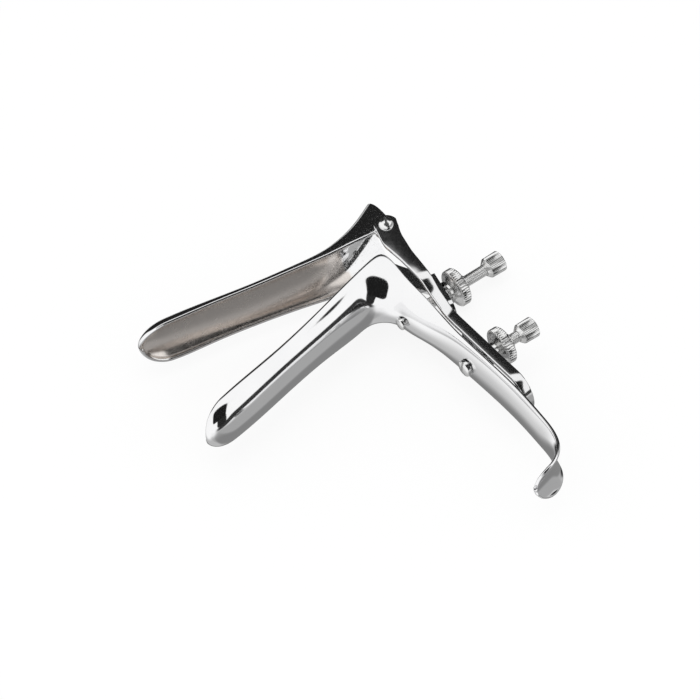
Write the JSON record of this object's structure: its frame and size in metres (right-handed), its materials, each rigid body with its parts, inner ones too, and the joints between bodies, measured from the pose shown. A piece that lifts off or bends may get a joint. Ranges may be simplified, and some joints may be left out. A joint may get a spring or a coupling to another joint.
{
  "type": "bivalve speculum",
  "caption": "Two-bladed hinged steel speculum with a handle, a yoke frame, a thumb lever and two knurled screws that set how far and how high the blades open.",
  "frame": {"origin": "on the hinge axis, at the outer face of the far pivot screw's head, on which the instrument lies", "axes": "-X along the blades, -Y down the handle, +Z along the hinge axis towards the near side"},
  "size_m": [0.1533, 0.1725, 0.04],
  "materials": {
    "blade_steel": "mirror polished",
    "frame_steel": "polished",
    "screw_steel": "polished, knurled on the discs and caps"
  },
  "bodies": {
    "base": {"lower_blade": "blade_steel", "handle_rivet": "screw_steel", "height_stud": "screw_steel", "height_cap": "screw_steel"},
    "yoke": {"yoke_frame": "frame_steel", "near_pivot_screw": "screw_steel", "far_pivot_screw": "screw_steel", "opening_rod": "screw_steel", "opening_cap": "screw_steel"},
    "upper": {"upper_blade": "blade_steel", "thumb_lever": "frame_steel"},
    "opening_slide": {"opening_washer": "screw_steel"},
    "opening_knob": {"opening_nut": "screw_steel"},
    "height_slide": {"height_washer": "screw_steel"},
    "height_knob": {"height_nut": "screw_steel"}
  },
  "joints": [
    {"name": "height_adjust", "type": "slide", "parent": "base", "child": "yoke", "axis": [0, 1, 0], "range_m": [0, 0.02]},
    {"name": "blade_pivot", "type": "hinge", "parent": "yoke", "child": "upper", "pos_m": [0, 0, 0.02], "axis": [0, 0, 1], "range_deg": [0, 24.01]},
    {"name": "opening_nut_travel", "type": "slide", "parent": "yoke", "child": "opening_slide", "axis": [1, 0, 0], "range_m": [0, 0.00999]},
    {"name": "opening_nut_spin", "type": "hinge", "parent": "opening_slide", "child": "opening_knob", "pos_m": [0.0116, -0.0235, 0.0085], "axis": [1, 0, 0], "range_deg": [0, 2398]},
    {"name": "height_nut_travel", "type": "slide", "parent": "base", "child": "height_slide", "axis": [1, 0, 0], "range_m": [0, 0.004]},
    {"name": "height_nut_spin", "type": "hinge", "parent": "height_slide", "child": "height_knob", "pos_m": [-0.0005, -0.0695, 0.02], "axis": [1, 0, 0], "range_deg": [0, 960.1]}
  ],
  "couplings": [
    {"joint": "blade_pivot", "follows": "opening_nut_travel", "rad_per_m": 41.926},
    {"joint": "opening_nut_spin", "follows": "opening_nut_travel", "rad_per_m": 4188.8},
    {"joint": "height_nut_spin", "follows": "height_nut_travel", "rad_per_m": 4188.8}
  ]
}
